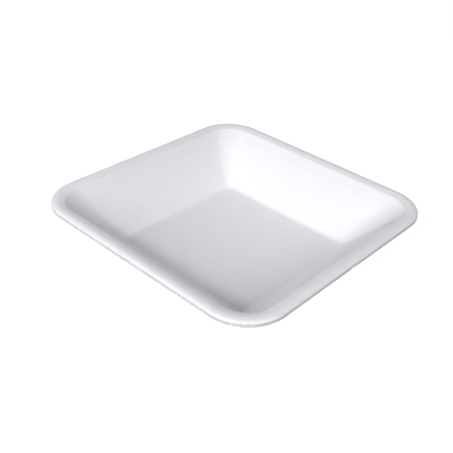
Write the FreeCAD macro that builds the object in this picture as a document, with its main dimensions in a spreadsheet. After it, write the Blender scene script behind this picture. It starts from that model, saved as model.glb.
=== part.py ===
import FreeCAD, Part

import math
import os

import Sketcher

# A shallow square tray, moulded in one piece from one sheet of polystyrene foam.
# Millimetres. The origin is under the middle of the base, with +Z up, and the
# sides lie along X and Y.

doc = FreeCAD.newDocument("PlugTray")

# The sizes that can be set by themselves.

driving_sizes = [
    ("overall_side", 133.0, "outside of the rim, from side to side"),
    ("overall_height", 26.0, "from under the base to the top of the rim"),
    ("foam_thickness", 2.8, "foam in the floor and the walls"),
    ("rim_width", 6.2, "from the outside of the rim to the brow of the wall"),
    ("rim_height", 2.8, "from under the rim to its crest"),
    ("crest_start", 2.0, "from the outside of the rim to its level crest"),
    ("crest_end", 3.2, "from the outside of the rim to the end of the crest"),
    ("edge_drop", 0.3, "how far the rim falls from the crest to the outside"),
    ("brow_drop", 0.7, "how far the rim falls from the crest to the brow"),
    ("rim_corner_radius", 20.4, "outside corners of the rim, from above"),
    ("floor_side", 75.2, "inside floor, from side to side"),
    ("floor_corner_radius", 3.5, "corners of the inside floor, from above"),
    ("floor_bend", 4.0, "inside radius from the floor to the wall"),
    ("brow_bend", 1.6, "radius from the top of the rim to the inner wall"),
    ("crest_bend", 5.0, "radius on each side of the crest"),
    ("rim_top_round", 1.4, "upper edge of the rim's outer face"),
    ("rim_bottom_round", 0.6, "lower edge of the rim's outer face"),
    ("underside_bend", 1.6, "radius under the rim, where the wall leaves it"),
    ("shoulder_drop", 4.7, "crest of the rim to the faint shoulder on the inner wall"),
    ("shoulder_proud", 0.3, "how far the shoulder stands inside a straight wall"),
]

sizes = doc.addObject("Spreadsheet::Sheet", "Sizes")
for row, (alias, value, note) in enumerate(driving_sizes, start=1):
    sizes.set("A%d" % row, alias)
    sizes.set("B%d" % row, str(value))
    sizes.set("C%d" % row, note)
    sizes.setAlias("B%d" % row, alias)
doc.recompute()

# Sizes that follow from them, as expressions. The top of the rim is crowned: it
# falls a little from the crest to the outside and to the brow, where it turns down
# into the inner wall. The wall runs to the floor with one faint shoulder on the
# way, where its slope steepens a little.

brow_side = "(Sizes.overall_side - 2 * Sizes.rim_width)"
brow_radius = "(Sizes.rim_corner_radius - Sizes.rim_width)"
wall_run = f"(({brow_side} - Sizes.floor_side) / 2)"
wall_rise = "(Sizes.overall_height - Sizes.brow_drop - Sizes.foam_thickness)"
wall_slant = f"sqrt({wall_run} ^ 2 + {wall_rise} ^ 2)"
shoulder_share = f"((Sizes.shoulder_drop - Sizes.brow_drop) / {wall_rise})"
shoulder_side = f"({brow_side} - 2 * ({wall_run} * {shoulder_share} + Sizes.shoulder_proud))"
shoulder_radius = f"({brow_radius} - ({brow_radius} - Sizes.floor_corner_radius) * {shoulder_share})"

# The outer skin lies one foam thickness outside the inner one. At the base it
# starts further out than the floor's edge by the thickness times the tangent of
# half the slope, and it meets the rim's underside at its root.
base_step = f"(Sizes.foam_thickness * ({wall_slant} - {wall_run}) / {wall_rise})"
base_side = f"(Sizes.floor_side + 2 * {base_step})"
base_radius = f"(Sizes.floor_corner_radius + {base_step})"
brow_lift = "(Sizes.rim_height - Sizes.brow_drop)"
root_step = f"((Sizes.foam_thickness * {wall_slant} - {brow_lift} * {wall_run}) / {wall_rise})"
root_side = f"({brow_side} + 2 * {root_step})"
root_radius = f"({brow_radius} + {root_step})"

# The two edges of the crest.
crest_outer_side = "(Sizes.overall_side - 2 * Sizes.crest_start)"
crest_outer_radius = "(Sizes.rim_corner_radius - Sizes.crest_start)"
crest_inner_side = "(Sizes.overall_side - 2 * Sizes.crest_end)"
crest_inner_radius = "(Sizes.rim_corner_radius - Sizes.crest_end)"

ground_level = "0"
floor_level = "Sizes.foam_thickness"
root_level = "(Sizes.overall_height - Sizes.rim_height)"
shoulder_level = "(Sizes.overall_height - Sizes.shoulder_drop)"
brow_level = "(Sizes.overall_height - Sizes.brow_drop)"
edge_level = "(Sizes.overall_height - Sizes.edge_drop)"
top_level = "Sizes.overall_height"


def origin_plane(body, role):
    """The body's own origin plane that has this role."""
    for feature in body.Origin.OriginFeatures:
        if feature.Role == role:
            return feature
    raise ValueError("no origin plane " + role)


def rounded_square(body, name, side, radius, level):
    """A centred square with round corners, as a closed sketch at this level."""
    sketch = body.newObject("Sketcher::SketchObject", name)
    sketch.AttachmentSupport = [(origin_plane(body, "XY_Plane"), "")]
    sketch.MapMode = "FlatFace"
    sketch.setExpression("AttachmentOffset.Base.z", level)

    # Anticlockwise: the arc at each corner, then the straight side after it.
    half_size = sketch.evalExpression(side) / 2
    corner_size = sketch.evalExpression(radius)
    flat_size = half_size - corner_size
    up = FreeCAD.Vector(0, 0, 1)
    for turn in range(4):
        spin = FreeCAD.Rotation(up, 90 * turn)
        corner_circle = Part.Circle(spin.multVec(FreeCAD.Vector(flat_size, flat_size, 0)), up, corner_size)
        start_angle = turn * math.pi / 2
        sketch.addGeometry(Part.ArcOfCircle(corner_circle, start_angle, start_angle + math.pi / 2))
        side_start = spin.multVec(FreeCAD.Vector(flat_size, half_size, 0))
        side_end = spin.multVec(FreeCAD.Vector(-flat_size, half_size, 0))
        sketch.addGeometry(Part.LineSegment(side_start, side_end))

    start_point, end_point, centre_point = 1, 2, 3
    arcs, lines = (0, 2, 4, 6), (1, 3, 5, 7)
    for arc, line in zip(arcs, lines):
        next_arc = (line + 1) % 8
        sketch.addConstraint(Sketcher.Constraint("Tangent", arc, end_point, line, start_point))
        sketch.addConstraint(Sketcher.Constraint("Tangent", line, end_point, next_arc, start_point))
    for line, direction in zip(lines, ("Horizontal", "Vertical", "Horizontal", "Vertical")):
        sketch.addConstraint(Sketcher.Constraint(direction, line))
    for arc in arcs[1:]:
        sketch.addConstraint(Sketcher.Constraint("Equal", arcs[0], arc))
    sketch.addConstraint(Sketcher.Constraint("Equal", lines[0], lines[1]))
    origin_geometry, origin_point = -1, 1
    sketch.addConstraint(Sketcher.Constraint(
        "Symmetric", arcs[0], centre_point, arcs[2], centre_point, origin_geometry, origin_point
    ))
    radius_constraint = sketch.addConstraint(Sketcher.Constraint("Radius", arcs[0], corner_size))
    side_constraint = sketch.addConstraint(Sketcher.Constraint(
        "DistanceY", lines[2], start_point, lines[0], start_point, 2 * half_size
    ))
    sketch.setExpression(f"Constraints[{radius_constraint}]", radius)
    sketch.setExpression(f"Constraints[{side_constraint}]", side)
    doc.recompute()
    if not sketch.FullyConstrained:
        raise ValueError(name + " is not fully constrained")
    return sketch


def ruled_loft(body, kind, name, lowest_outline, higher_outlines):
    """A loft with straight walls from outline to outline, added or taken away."""
    loft = body.newObject(kind, name)
    loft.Profile = lowest_outline
    loft.Sections = higher_outlines
    loft.Ruled = True
    doc.recompute()
    return loft


def ring_edges(shape, side, level):
    """The edges of a ring at this level whose sides lie this far apart."""
    size = 0.5 * doc.Sizes.evalExpression(side)
    height = doc.Sizes.evalExpression(level)
    names = []
    for number, edge in enumerate(shape.Edges, start=1):
        at_level = all(abs(vertex.Z - height) < 1e-4 for vertex in edge.Vertexes)
        on_ring = all(abs(max(abs(vertex.X), abs(vertex.Y)) - size) < 1e-4 for vertex in edge.Vertexes)
        if at_level and on_ring:
            names.append("Edge%d" % number)
    if len(names) != 8:
        raise ValueError("a ring has %d edges, not 8" % len(names))
    return names


def round_ring(body, name, side, level, radius):
    """A fillet along a whole ring of edges. It has to change the volume."""
    base = body.Tip
    fillet = body.newObject("PartDesign::Fillet", name)
    fillet.Base = (base, ring_edges(base.Shape, side, level))
    fillet.setExpression("Radius", radius)
    doc.recompute()
    if abs(fillet.Shape.Volume - base.Shape.Volume) < 1e-3:
        raise ValueError(name + " changed nothing")
    return fillet


def make_tray():
    """The whole tray: floor, four sloping walls and the thick rim round the top."""
    tray = doc.addObject("PartDesign::Body", "Tray")
    tray.Label = "tray"

    base_outline = rounded_square(tray, "BaseOutline", base_side, base_radius, ground_level)
    root_outline = rounded_square(tray, "RootOutline", root_side, root_radius, root_level)
    ruled_loft(tray, "PartDesign::AdditiveLoft", "OuterSkin", base_outline, [root_outline])

    rim_outline = rounded_square(
        tray, "RimOutline", "Sizes.overall_side", "Sizes.rim_corner_radius", root_level
    )
    rim = tray.newObject("PartDesign::Pad", "Rim")
    rim.Profile = rim_outline
    rim.setExpression("Length", "Sizes.rim_height - Sizes.edge_drop")
    doc.recompute()

    edge_outline = rounded_square(
        tray, "EdgeOutline", "Sizes.overall_side", "Sizes.rim_corner_radius", edge_level
    )
    crest_outer_outline = rounded_square(
        tray, "CrestOuterOutline", crest_outer_side, crest_outer_radius, top_level
    )
    rim_top = ruled_loft(tray, "PartDesign::AdditiveLoft", "RimTop", edge_outline, [crest_outer_outline])

    floor_outline = rounded_square(
        tray, "FloorOutline", "Sizes.floor_side", "Sizes.floor_corner_radius", floor_level
    )
    shoulder_outline = rounded_square(
        tray, "ShoulderOutline", shoulder_side, shoulder_radius, shoulder_level
    )
    brow_outline = rounded_square(tray, "BrowOutline", brow_side, brow_radius, brow_level)
    crest_inner_outline = rounded_square(
        tray, "CrestInnerOutline", crest_inner_side, crest_inner_radius, top_level
    )
    wall_outlines = [shoulder_outline, brow_outline, crest_inner_outline]
    ruled_loft(tray, "PartDesign::SubtractiveLoft", "Inside", floor_outline, wall_outlines)
    if tray.Shape.Volume >= rim_top.Shape.Volume:
        raise ValueError("the inside was not hollowed out")

    round_ring(tray, "FloorBend", "Sizes.floor_side", floor_level, "Sizes.floor_bend")
    round_ring(tray, "BaseBend", base_side, ground_level, "Sizes.floor_bend + Sizes.foam_thickness")
    round_ring(tray, "UndersideBend", root_side, root_level, "Sizes.underside_bend")
    round_ring(tray, "RimBottomRound", "Sizes.overall_side", root_level, "Sizes.rim_bottom_round")
    round_ring(tray, "BrowBend", brow_side, brow_level, "Sizes.brow_bend")
    round_ring(tray, "RimTopRound", "Sizes.overall_side", edge_level, "Sizes.rim_top_round")
    round_ring(tray, "CrestInnerBend", crest_inner_side, top_level, "Sizes.crest_bend")
    round_ring(tray, "CrestOuterBend", crest_outer_side, top_level, "Sizes.crest_bend")
    return tray


sub_parts = [make_tray()]
doc.recompute()

for item in doc.Objects:
    if "Invalid" in item.State or "Error" in item.State:
        raise ValueError(item.Label + " did not build")
for sub_part in sub_parts:
    if sub_part.Shape.isNull() or not sub_part.Shape.isValid():
        raise ValueError(sub_part.Label + " has no valid shape")

os.makedirs("parts", exist_ok=True)
for sub_part in sub_parts:
    sub_part.Shape.exportStep(f"parts/{sub_part.Label}.step")
    box = sub_part.Shape.optimalBoundingBox(True, False)
    lengths = [round(length, 3) for length in (box.XLength, box.YLength, box.ZLength)]
    volume = round(sub_part.Shape.Volume / 1000, 2)
    print(sub_part.Label, len(sub_part.Shape.Solids), "solid,", volume, "cm3,", lengths, "mm")
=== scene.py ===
import math

import bpy
import numpy as np
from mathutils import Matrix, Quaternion, Vector


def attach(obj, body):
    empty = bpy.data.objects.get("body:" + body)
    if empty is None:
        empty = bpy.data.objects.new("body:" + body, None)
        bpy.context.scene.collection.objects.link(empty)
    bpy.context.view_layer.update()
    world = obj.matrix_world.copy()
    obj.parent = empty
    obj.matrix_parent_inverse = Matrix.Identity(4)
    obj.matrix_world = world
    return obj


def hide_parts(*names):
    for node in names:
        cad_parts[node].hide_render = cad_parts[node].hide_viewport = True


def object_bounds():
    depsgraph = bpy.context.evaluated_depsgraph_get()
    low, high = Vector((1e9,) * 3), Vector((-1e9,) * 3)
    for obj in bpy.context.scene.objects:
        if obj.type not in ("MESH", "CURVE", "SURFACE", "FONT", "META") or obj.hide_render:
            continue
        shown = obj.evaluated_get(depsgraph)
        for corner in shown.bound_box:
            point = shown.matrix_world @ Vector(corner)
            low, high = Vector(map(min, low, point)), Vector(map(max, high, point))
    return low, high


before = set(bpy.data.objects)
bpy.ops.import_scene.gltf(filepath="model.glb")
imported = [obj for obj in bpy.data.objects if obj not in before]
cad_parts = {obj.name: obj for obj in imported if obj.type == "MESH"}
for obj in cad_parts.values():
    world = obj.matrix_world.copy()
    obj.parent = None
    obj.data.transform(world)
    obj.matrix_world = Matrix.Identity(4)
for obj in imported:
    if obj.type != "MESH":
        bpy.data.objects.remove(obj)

cadLow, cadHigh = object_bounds()
mm = 0.001
print("frame loaded:", [round(size / mm, 1) for size in cadHigh - cadLow], "mm")


cameraView = {
    "azimuth": 40.96,          # degrees, from the -Y side towards the +X side
    "elevation": 33.22,        # degrees above level
    "roll": 3.54,              # degrees, the camera is held a little crooked
    "distance": 317.0 * mm,    # from the point it looks at
    "lookAt": (11.2 * mm, -19.2 * mm, cadHigh.z),
    "focalLength": 57.0,       # millimetres, as the sensor width
    "sensorWidth": 36.0,
    "nearest": 0.01,           # metres, the range that the camera sees
    "farthest": 50.0,
}


def outwardWay(azimuth, elevation):
    # A unit vector away from the object. Azimuth 0 is the -Y side and 90 the +X
    # side, elevation is above level, both in degrees.
    turn, climb = math.radians(azimuth), math.radians(elevation)
    level = math.cos(climb)
    return Vector((math.sin(turn) * level, -math.cos(turn) * level, math.sin(climb)))


def makeCamera(view):
    # back points from the subject to the camera; roll turns the camera about it
    back = outwardWay(view["azimuth"], view["elevation"])
    data = bpy.data.cameras.new("camera")
    data.sensor_width = view["sensorWidth"]
    data.lens = view["focalLength"]
    data.clip_start = view["nearest"]
    data.clip_end = view["farthest"]
    camera = bpy.data.objects.new("camera", data)
    camera.location = Vector(view["lookAt"]) + back * view["distance"]
    level = (-back).to_track_quat("-Z", "Y")
    camera.rotation_euler = (level @ Quaternion((0, 0, 1), math.radians(view["roll"]))).to_euler()
    bpy.context.collection.objects.link(camera)
    bpy.context.scene.camera = camera


makeCamera(cameraView)
print("camera set")


trayShape = {
    "foamThickness": 2.8 * mm,
    "crestStart": 2.0 * mm,          # outside of the rim to its level crest
    "crestEnd": 3.2 * mm,            # outside of the rim to the end of the crest
    "edgeDrop": 0.3 * mm,            # fall from the crest to the outside
    "browIn": 6.2 * mm,              # outside of the rim to the brow of the wall
    "browDrop": 0.7 * mm,            # fall from the crest to the brow
    "rimHeight": 2.8 * mm,
    "rimCornerRadius": 20.4 * mm,    # seen from above
    "floorSide": 75.2 * mm,
    "floorCornerRadius": 3.5 * mm,   # seen from above
    "floorBend": 4.0 * mm,
    "browBend": 1.6 * mm,
    "crestBend": 5.0 * mm,
    "rimTopRound": 1.4 * mm,
    "rimBottomRound": 0.6 * mm,
    "undersideBend": 1.6 * mm,
    "shoulderDrop": 4.7 * mm,
    "shoulderProud": 0.3 * mm,
    "shoulderBend": 2.0 * mm,
    "rowStep": 1.4 * mm,             # mesh size along the section
    "bendSteps": 9,                  # mesh steps in each bend
    "sideSteps": 110,                # mesh steps along each straight side
    "cornerSteps": 24,               # mesh steps round each corner
    "wearDepth": 0.35 * mm,          # the cut edge of the rim is a little ragged
    "wearDrop": 2.3 * mm,            # top of the rim to the middle of the worn band
    "wearBand": 0.7 * mm,
    "wearSeed": 5,
    "nickPlace": (cadHigh.x, 0.0),   # middle of the rim on the +X side
    "nickLength": 1.2 * mm,
    "nickDepth": 0.8 * mm,
}


def sectionCorners(shape):
    # The section through the middle of a side, from the middle of the floor up the
    # wall, round the rim and back to the middle of the base. Each row is half the
    # side, height, corner radius seen from above, and the radius of the bend there.
    halfSide = (cadHigh.x - cadLow.x) / 2
    top = cadHigh.z
    foam = shape["foamThickness"]
    rimRadius = shape["rimCornerRadius"]
    crestStart, crestEnd = shape["crestStart"], shape["crestEnd"]
    floorHalf = shape["floorSide"] / 2
    browHalf = halfSide - shape["browIn"]
    browHeight = top - shape["browDrop"]
    browRadius = rimRadius - shape["browIn"]
    run = browHalf - floorHalf
    rise = browHeight - foam
    slant = math.hypot(run, rise)
    down = (shape["shoulderDrop"] - shape["browDrop"]) / rise
    baseStep = foam * (slant - run) / rise
    rootStep = (foam * slant - (shape["rimHeight"] - shape["browDrop"]) * run) / rise
    shoulderHalf = browHalf - run * down - shape["shoulderProud"]
    shoulderRadius = browRadius + (shape["floorCornerRadius"] - browRadius) * down
    return np.array([
        (0.0, foam, 0.0, 0.0),
        (floorHalf, foam, shape["floorCornerRadius"], shape["floorBend"]),
        (shoulderHalf, top - shape["shoulderDrop"], shoulderRadius, shape["shoulderBend"]),
        (browHalf, browHeight, browRadius, shape["browBend"]),
        (halfSide - crestEnd, top, rimRadius - crestEnd, shape["crestBend"]),
        (halfSide - crestStart, top, rimRadius - crestStart, shape["crestBend"]),
        (halfSide, top - shape["edgeDrop"], rimRadius, shape["rimTopRound"]),
        (halfSide, top - shape["rimHeight"], rimRadius, shape["rimBottomRound"]),
        (browHalf + rootStep, top - shape["rimHeight"], browRadius + rootStep, shape["undersideBend"]),
        (floorHalf + baseStep, 0.0, shape["floorCornerRadius"] + baseStep, shape["floorBend"] + foam),
        (0.0, 0.0, 0.0, 0.0),
    ])


def bentSection(corners, shape):
    # Each corner becomes an arc that touches both of its legs: the arc starts the
    # bend radius times the tangent of half the turn before the corner. Straight
    # legs between the arcs are cut into even steps.
    points = corners[:, :3]
    legs = np.diff(points, axis=0)
    lengths = np.hypot(legs[:, 0], legs[:, 1])[:, None]
    ways = legs / lengths
    arcs = [points[:1]]
    for before, after, corner, bend in zip(ways[:-1], ways[1:], points[1:-1], corners[1:-1, 3]):
        turn = math.atan2(before[0] * after[1] - before[1] * after[0], before[:2] @ after[:2])
        cut = bend * math.tan(abs(turn) / 2)
        sideways = np.array([-before[1], before[0]]) * math.copysign(1.0, turn)
        angle = np.linspace(0, abs(turn), shape["bendSteps"] + 1)[:, None]
        start = corner - before * cut
        flat = start[:2] + bend * (sideways * (1 - np.cos(angle)) + before[:2] * np.sin(angle))
        radius = start[2] + (corner + after * cut - start)[2] * angle / abs(turn)
        arcs.append(np.hstack([flat, radius]))
    arcs.append(points[-1:])
    rows = [arcs[0]]
    for last, following in zip(arcs[:-1], arcs[1:]):
        gap = following[0] - last[-1]
        steps = max(1, round(math.hypot(gap[0], gap[1]) / shape["rowStep"]))
        share = np.linspace(0, 1, steps + 1)[1:, None]
        rows.append(last[-1] + gap * share)
        rows.append(following[1:])
    return np.vstack(rows)


def roundedSquarePath(shape):
    # Once round a square with round corners: a point on a square of half-side 1 and
    # a unit vector. The outline of half-side a and radius r is (a - r) times the
    # first plus r times the second.
    arc = np.linspace(0, math.pi / 2, shape["cornerSteps"] + 1)[:-1]
    along = np.linspace(1, -1, shape["sideSteps"] + 1)[:-1]
    squarePart = np.vstack([np.ones((arc.size, 2)), np.stack([along, np.ones_like(along)], 1)])
    roundPart = np.vstack([
        np.stack([np.cos(arc), np.sin(arc)], 1),
        np.tile([0.0, 1.0], (along.size, 1)),
    ])
    quarterTurn = np.array([[0.0, 1.0], [-1.0, 0.0]])
    turns = [np.linalg.matrix_power(quarterTurn, k) for k in range(4)]
    return np.vstack([squarePart @ t for t in turns]), np.vstack([roundPart @ t for t in turns])


def edgeWear(half, height, flat, shape):
    # How far each point of the rim's cut edge is worn inwards: an uneven fringe
    # along its lower part, and one nick. Nothing is moved outwards.
    outside = np.clip((half - (half.max() - shape["wearBand"])) / shape["wearBand"], 0, 1)
    below = cadHigh.z - shape["wearDrop"] - height
    band = outside * np.exp(-(below / shape["wearBand"]) ** 2)
    columns = flat.shape[1]
    fringe = np.random.default_rng(shape["wearSeed"]).random(columns)
    fringe = (fringe + np.roll(fringe, 1) + np.roll(fringe, -1)) / 3
    away = np.linalg.norm(flat[np.argmax(half)] - np.array(shape["nickPlace"]), axis=1)
    nick = np.exp(-(away / shape["nickLength"]) ** 4)
    return band[:, None] * (shape["wearDepth"] * fringe ** 2 + shape["nickDepth"] * nick)


def trayPoints(shape):
    section = bentSection(sectionCorners(shape), shape)
    squarePart, roundPart = roundedSquarePath(shape)
    half, height, radius = section[1:-1].T
    flat = (half - radius)[:, None, None] * squarePart + radius[:, None, None] * roundPart
    flat = flat - edgeWear(half, height, flat, shape)[:, :, None] * roundPart
    tall = np.broadcast_to(height[:, None, None], flat.shape[:2] + (1,))
    return np.concatenate([flat, tall], axis=2), section


def gridMesh(name, grid, firstPole, lastPole):
    # A closed skin: rings of the grid joined by quads, with a fan of triangles at
    # each pole. Rows run from the first pole to the last, columns anticlockwise.
    rows, columns, _ = grid.shape
    vertices = np.vstack([grid.reshape(-1, 3), firstPole, lastPole])
    here = np.arange(columns)
    following = (here + 1) % columns
    ring = np.arange(rows - 1)[:, None] * columns
    above = ring + columns
    quads = np.stack([ring + here, above + here, above + following, ring + following], 2).reshape(-1, 4)
    first, last = rows * columns, rows * columns + 1
    lastRing = (rows - 1) * columns
    firstFan = np.stack([np.full(columns, first), here, following], 1)
    lastFan = np.stack([np.full(columns, last), lastRing + following, lastRing + here], 1)
    fans = np.vstack([firstFan, lastFan])
    mesh = bpy.data.meshes.new(name)
    mesh.vertices.add(len(vertices))
    mesh.vertices.foreach_set("co", vertices.ravel())
    mesh.loops.add(quads.size + fans.size)
    corners = np.concatenate([quads.ravel(), fans.ravel()])
    mesh.loops.foreach_set("vertex_index", corners.astype(np.int32))
    mesh.polygons.add(len(quads) + len(fans))
    starts = np.concatenate([np.arange(len(quads)) * 4, quads.size + np.arange(len(fans)) * 3])
    mesh.polygons.foreach_set("loop_start", starts.astype(np.int32))
    mesh.update(calc_edges=True)
    mesh.validate()
    mesh.shade_smooth()
    return mesh


def makeTray(shape):
    grid, section = trayPoints(shape)
    mesh = gridMesh("foamTray", grid, (0, 0, section[0, 1]), (0, 0, section[-1, 1]))
    tray = bpy.data.objects.new("foamTray", mesh)
    bpy.context.collection.objects.link(tray)
    return tray


foamTray = makeTray(trayShape)
print("tray made:", len(foamTray.data.polygons), "faces")


foamLook = {
    "colour": (0.895, 0.905, 0.94),
    "shade": 0.93,                   # share of the colour left between the cells
    "cutShade": 0.86,                # share of the colour left in the cut edge's streaks
    "cellSize": 0.75 * mm,
    "cellSoftness": 0.4,
    "grainSize": 1.25 * mm,          # fine unevenness laid over the cells
    "grainShare": 0.5,
    "grainDetail": 2.0,
    "mottleSize": 9.0 * mm,          # broad patches, some lighter and chalkier
    "mottleDetail": 3.0,
    "mottleTint": 0.35,
    "chalkyFrom": 0.35,              # mottle at which the skin starts to turn chalky
    "chalkyTo": 0.65,
    "cutTilt": 0.6,                  # the cut edge ends where the normal's Z reaches this
    "cutFade": 3.0,                  # how sharply it ends there
    "streakSize": 0.7 * mm,          # the cut edge is torn in fine upright streaks
    "streakDetail": 2.0,
    "streakSquash": 0.25,            # scale along Z, so that a streak is taller than wide
    "tornFrom": 0.36,                # noise at which a streak starts
    "tornTo": 0.6,
    "cellRelief": 0.14 * mm,
    "streakRelief": 0.3 * mm,
    "smoothRoughness": 0.5,
    "chalkyRoughness": 0.7,
    "scatter": 0.35,                 # share of light that travels inside the foam
    "scatterDepth": 1.2 * mm,
}


def mathNode(nodes, links, operation, *values, clamp=False):
    node = nodes.new("ShaderNodeMath")
    node.operation = operation
    node.use_clamp = clamp
    for socket, value in zip(node.inputs, values):
        if isinstance(value, (int, float)):
            socket.default_value = value
        else:
            links.new(value, socket)
    return node.outputs[0]


def noiseNode(nodes, links, place, size, detail):
    noise = nodes.new("ShaderNodeTexNoise")
    noise.inputs["Scale"].default_value = 1.0 / size
    noise.inputs["Detail"].default_value = detail
    links.new(place, noise.inputs["Vector"])
    return noise.outputs["Fac"]


def rangeNode(nodes, links, value, lowest, highest, toLowest=0.0, toHighest=1.0):
    spread = nodes.new("ShaderNodeMapRange")
    spread.inputs["From Min"].default_value = lowest
    spread.inputs["From Max"].default_value = highest
    spread.inputs["To Min"].default_value = toLowest
    spread.inputs["To Max"].default_value = toHighest
    links.new(value, spread.inputs["Value"])
    return spread.outputs["Result"]


def bumpNode(nodes, links, height, distance, under=None):
    bump = nodes.new("ShaderNodeBump")
    bump.inputs["Distance"].default_value = distance
    links.new(height, bump.inputs["Height"])
    if under:
        links.new(under, bump.inputs["Normal"])
    return bump.outputs["Normal"]


def makeFoamSurface(look):
    # A node group on object coordinates. Cells rises from the middle of a cell to
    # the gap beside it, Mottle is broad patches, Cut is 1 on the rim's cut edge and
    # 0 elsewhere, and Streaks is the torn lines on that edge.
    group = bpy.data.node_groups.new("foamSurface", "ShaderNodeTree")
    for output in ("Cells", "Mottle", "Cut", "Streaks"):
        group.interface.new_socket(output, in_out="OUTPUT", socket_type="NodeSocketFloat")
    nodes, links = group.nodes, group.links
    result = nodes.new("NodeGroupOutput")
    place = nodes.new("ShaderNodeTexCoord").outputs["Object"]
    beads = nodes.new("ShaderNodeTexVoronoi")
    beads.feature = "SMOOTH_F1"
    beads.inputs["Scale"].default_value = 1.0 / look["cellSize"]
    beads.inputs["Smoothness"].default_value = look["cellSoftness"]
    links.new(place, beads.inputs["Vector"])
    blend = nodes.new("ShaderNodeMix")
    blend.inputs["Factor"].default_value = look["grainShare"]
    links.new(beads.outputs["Distance"], blend.inputs["A"])
    links.new(noiseNode(nodes, links, place, look["grainSize"], look["grainDetail"]), blend.inputs["B"])
    links.new(blend.outputs["Result"], result.inputs["Cells"])
    mottle = noiseNode(nodes, links, place, look["mottleSize"], look["mottleDetail"])
    links.new(mottle, result.inputs["Mottle"])

    # The cut edge is the only part of the tray that stands upright: its share is
    # the fade times how far the normal's Z, without its sign, is below the limit.
    split = nodes.new("ShaderNodeSeparateXYZ")
    links.new(nodes.new("ShaderNodeNewGeometry").outputs["Normal"], split.inputs["Vector"])
    tilt = mathNode(nodes, links, "ABSOLUTE", split.outputs["Z"])
    fade = look["cutFade"]
    upright = mathNode(nodes, links, "MULTIPLY_ADD", tilt, -fade, fade * look["cutTilt"], clamp=True)
    links.new(upright, result.inputs["Cut"])
    squash = nodes.new("ShaderNodeMapping")
    squash.inputs["Scale"].default_value = (1.0, 1.0, look["streakSquash"])
    links.new(place, squash.inputs["Vector"])
    lines = noiseNode(nodes, links, squash.outputs["Vector"], look["streakSize"], look["streakDetail"])
    torn = rangeNode(nodes, links, lines, look["tornFrom"], look["tornTo"])
    links.new(mathNode(nodes, links, "MULTIPLY", torn, upright), result.inputs["Streaks"])
    return group


def shadedColour(look, share):
    return (*(channel * share for channel in look["colour"]), 1.0)


def foamMaterial(look):
    material = bpy.data.materials.new("mouldedFoam")
    material.use_nodes = True
    nodes, links = material.node_tree.nodes, material.node_tree.links
    principled = nodes["Principled BSDF"]
    surface = nodes.new("ShaderNodeGroup")
    surface.node_tree = makeFoamSurface(look)
    cells, mottle, cut, streaks = surface.outputs

    # colour: white, a little greyer between the cells and in the cut edge's streaks
    filled = mathNode(nodes, links, "MULTIPLY_ADD", cells, -1.0, 1.0)
    light = mathNode(nodes, links, "MULTIPLY_ADD", mottle, look["mottleTint"], filled, clamp=True)
    body = nodes.new("ShaderNodeMix")
    body.data_type = "RGBA"
    body.inputs["A"].default_value = shadedColour(look, look["shade"])
    body.inputs["B"].default_value = shadedColour(look, 1.0)
    links.new(light, body.inputs["Factor"])
    edge = nodes.new("ShaderNodeMix")
    edge.data_type = "RGBA"
    edge.inputs["B"].default_value = shadedColour(look, look["cutShade"])
    links.new(body.outputs["Result"], edge.inputs["A"])
    links.new(streaks, edge.inputs["Factor"])
    links.new(edge.outputs["Result"], principled.inputs["Base Color"])

    # roughness: the skin shines a little where it pressed on the mould
    chalk = rangeNode(
        nodes, links, mottle, look["chalkyFrom"], look["chalkyTo"],
        look["smoothRoughness"], look["chalkyRoughness"],
    )
    links.new(mathNode(nodes, links, "MAXIMUM", chalk, cut), principled.inputs["Roughness"])

    # relief: dimples of the cells, then the streaks of the cut
    dimples = bumpNode(nodes, links, cells, look["cellRelief"])
    torn = bumpNode(nodes, links, streaks, look["streakRelief"], dimples)
    links.new(torn, principled.inputs["Normal"])

    principled.inputs["Subsurface Weight"].default_value = look["scatter"]
    principled.inputs["Subsurface Radius"].default_value = (1.0, 1.0, 1.0)
    principled.inputs["Subsurface Scale"].default_value = look["scatterDepth"]
    return material


foamTray.data.materials.append(foamMaterial(foamLook))
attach(foamTray, "root")
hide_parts("tray")
print("foam material made")


studio = {
    "floorSize": 6.0,
    "floorColour": (0.25, 0.25, 0.25, 1.0),
    "floorGlow": 0.9,            # seen directly or in a shine, so that the floor is white
    "skyColour": (0.93, 0.96, 1.0, 1.0),
    "skyStrength": 0.05,
    "backdrop": (1.0, 1.0, 1.0, 1.0),
    "lampDistance": 1.2,
}

# Azimuth 0 is the -Y side. Angles in degrees, sizes in metres, power in watts.
softboxes = {
    "key": {"azimuth": 5, "elevation": 38, "width": 0.15, "height": 0.15, "power": 4.4},
    "front": {"azimuth": 5, "elevation": 24, "width": 1.2, "height": 0.5, "power": 8.1},
    "right": {"azimuth": 85, "elevation": 35, "width": 0.8, "height": 0.5, "power": 5.4},
    "left": {"azimuth": -105, "elevation": 35, "width": 0.8, "height": 0.5, "power": 2.2},
}


def cameraGlow(nodes, links):
    # 1 for rays from the camera, off a shine and through glass, 0 for all others
    path = nodes.new("ShaderNodeLightPath").outputs
    direct = mathNode(nodes, links, "MAXIMUM", path["Is Camera Ray"], path["Is Glossy Ray"])
    return mathNode(nodes, links, "MAXIMUM", direct, path["Is Transmission Ray"])


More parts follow.
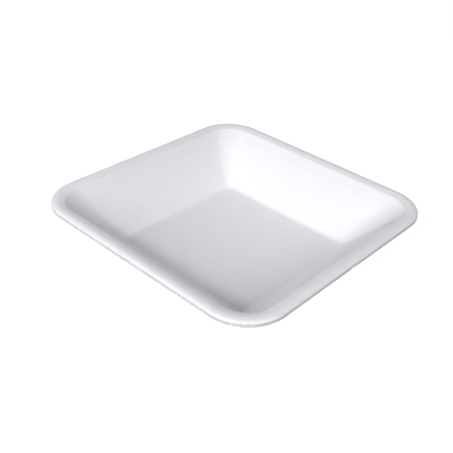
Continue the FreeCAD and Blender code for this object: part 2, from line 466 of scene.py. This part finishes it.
def makeFloor(look):
    half = look["floorSize"] / 2
    corners = [(-half, -half, 0), (half, -half, 0), (half, half, 0), (-half, half, 0)]
    mesh = bpy.data.meshes.new("floor")
    mesh.from_pydata(corners, [], [(0, 1, 2, 3)])
    floor = bpy.data.objects.new("floor", mesh)
    bpy.context.collection.objects.link(floor)
    material = bpy.data.materials.new("paleFloor")
    material.use_nodes = True
    nodes, links = material.node_tree.nodes, material.node_tree.links
    nodes.clear()
    output = nodes.new("ShaderNodeOutputMaterial")
    surface = nodes.new("ShaderNodeAddShader")
    diffuse = nodes.new("ShaderNodeBsdfDiffuse")
    glow = nodes.new("ShaderNodeEmission")
    diffuse.inputs["Color"].default_value = look["floorColour"]
    strength = mathNode(nodes, links, "MULTIPLY", cameraGlow(nodes, links), look["floorGlow"])
    links.new(strength, glow.inputs["Strength"])
    links.new(diffuse.outputs[0], surface.inputs[0])
    links.new(glow.outputs[0], surface.inputs[1])
    links.new(surface.outputs[0], output.inputs["Surface"])
    mesh.materials.append(material)


def makeSky(look):
    world = bpy.data.worlds.new("sky")
    bpy.context.scene.world = world
    world.use_nodes = True
    nodes, links = world.node_tree.nodes, world.node_tree.links
    nodes.clear()
    output = nodes.new("ShaderNodeOutputWorld")
    light = nodes.new("ShaderNodeBackground")
    light.inputs["Color"].default_value = look["skyColour"]
    light.inputs["Strength"].default_value = look["skyStrength"]
    white = nodes.new("ShaderNodeBackground")
    white.inputs["Color"].default_value = look["backdrop"]
    mix = nodes.new("ShaderNodeMixShader")
    links.new(cameraGlow(nodes, links), mix.inputs["Fac"])
    links.new(light.outputs[0], mix.inputs[1])
    links.new(white.outputs[0], mix.inputs[2])
    links.new(mix.outputs[0], output.inputs["Surface"])


def makeSoftbox(name, distance, azimuth, elevation, width, height, power):
    data = bpy.data.lights.new(name, "AREA")
    data.shape = "RECTANGLE"
    data.size, data.size_y = width, height
    data.energy = power
    away = outwardWay(azimuth, elevation)
    lamp = bpy.data.objects.new(name, data)
    lamp.location = away * distance
    lamp.rotation_euler = away.to_track_quat("Z", "Y").to_euler()
    bpy.context.collection.objects.link(lamp)


makeFloor(studio)
makeSky(studio)
for name, look in softboxes.items():
    makeSoftbox(name, studio["lampDistance"], **look)
bpy.context.scene.view_settings.view_transform = "Standard"
print("studio set")
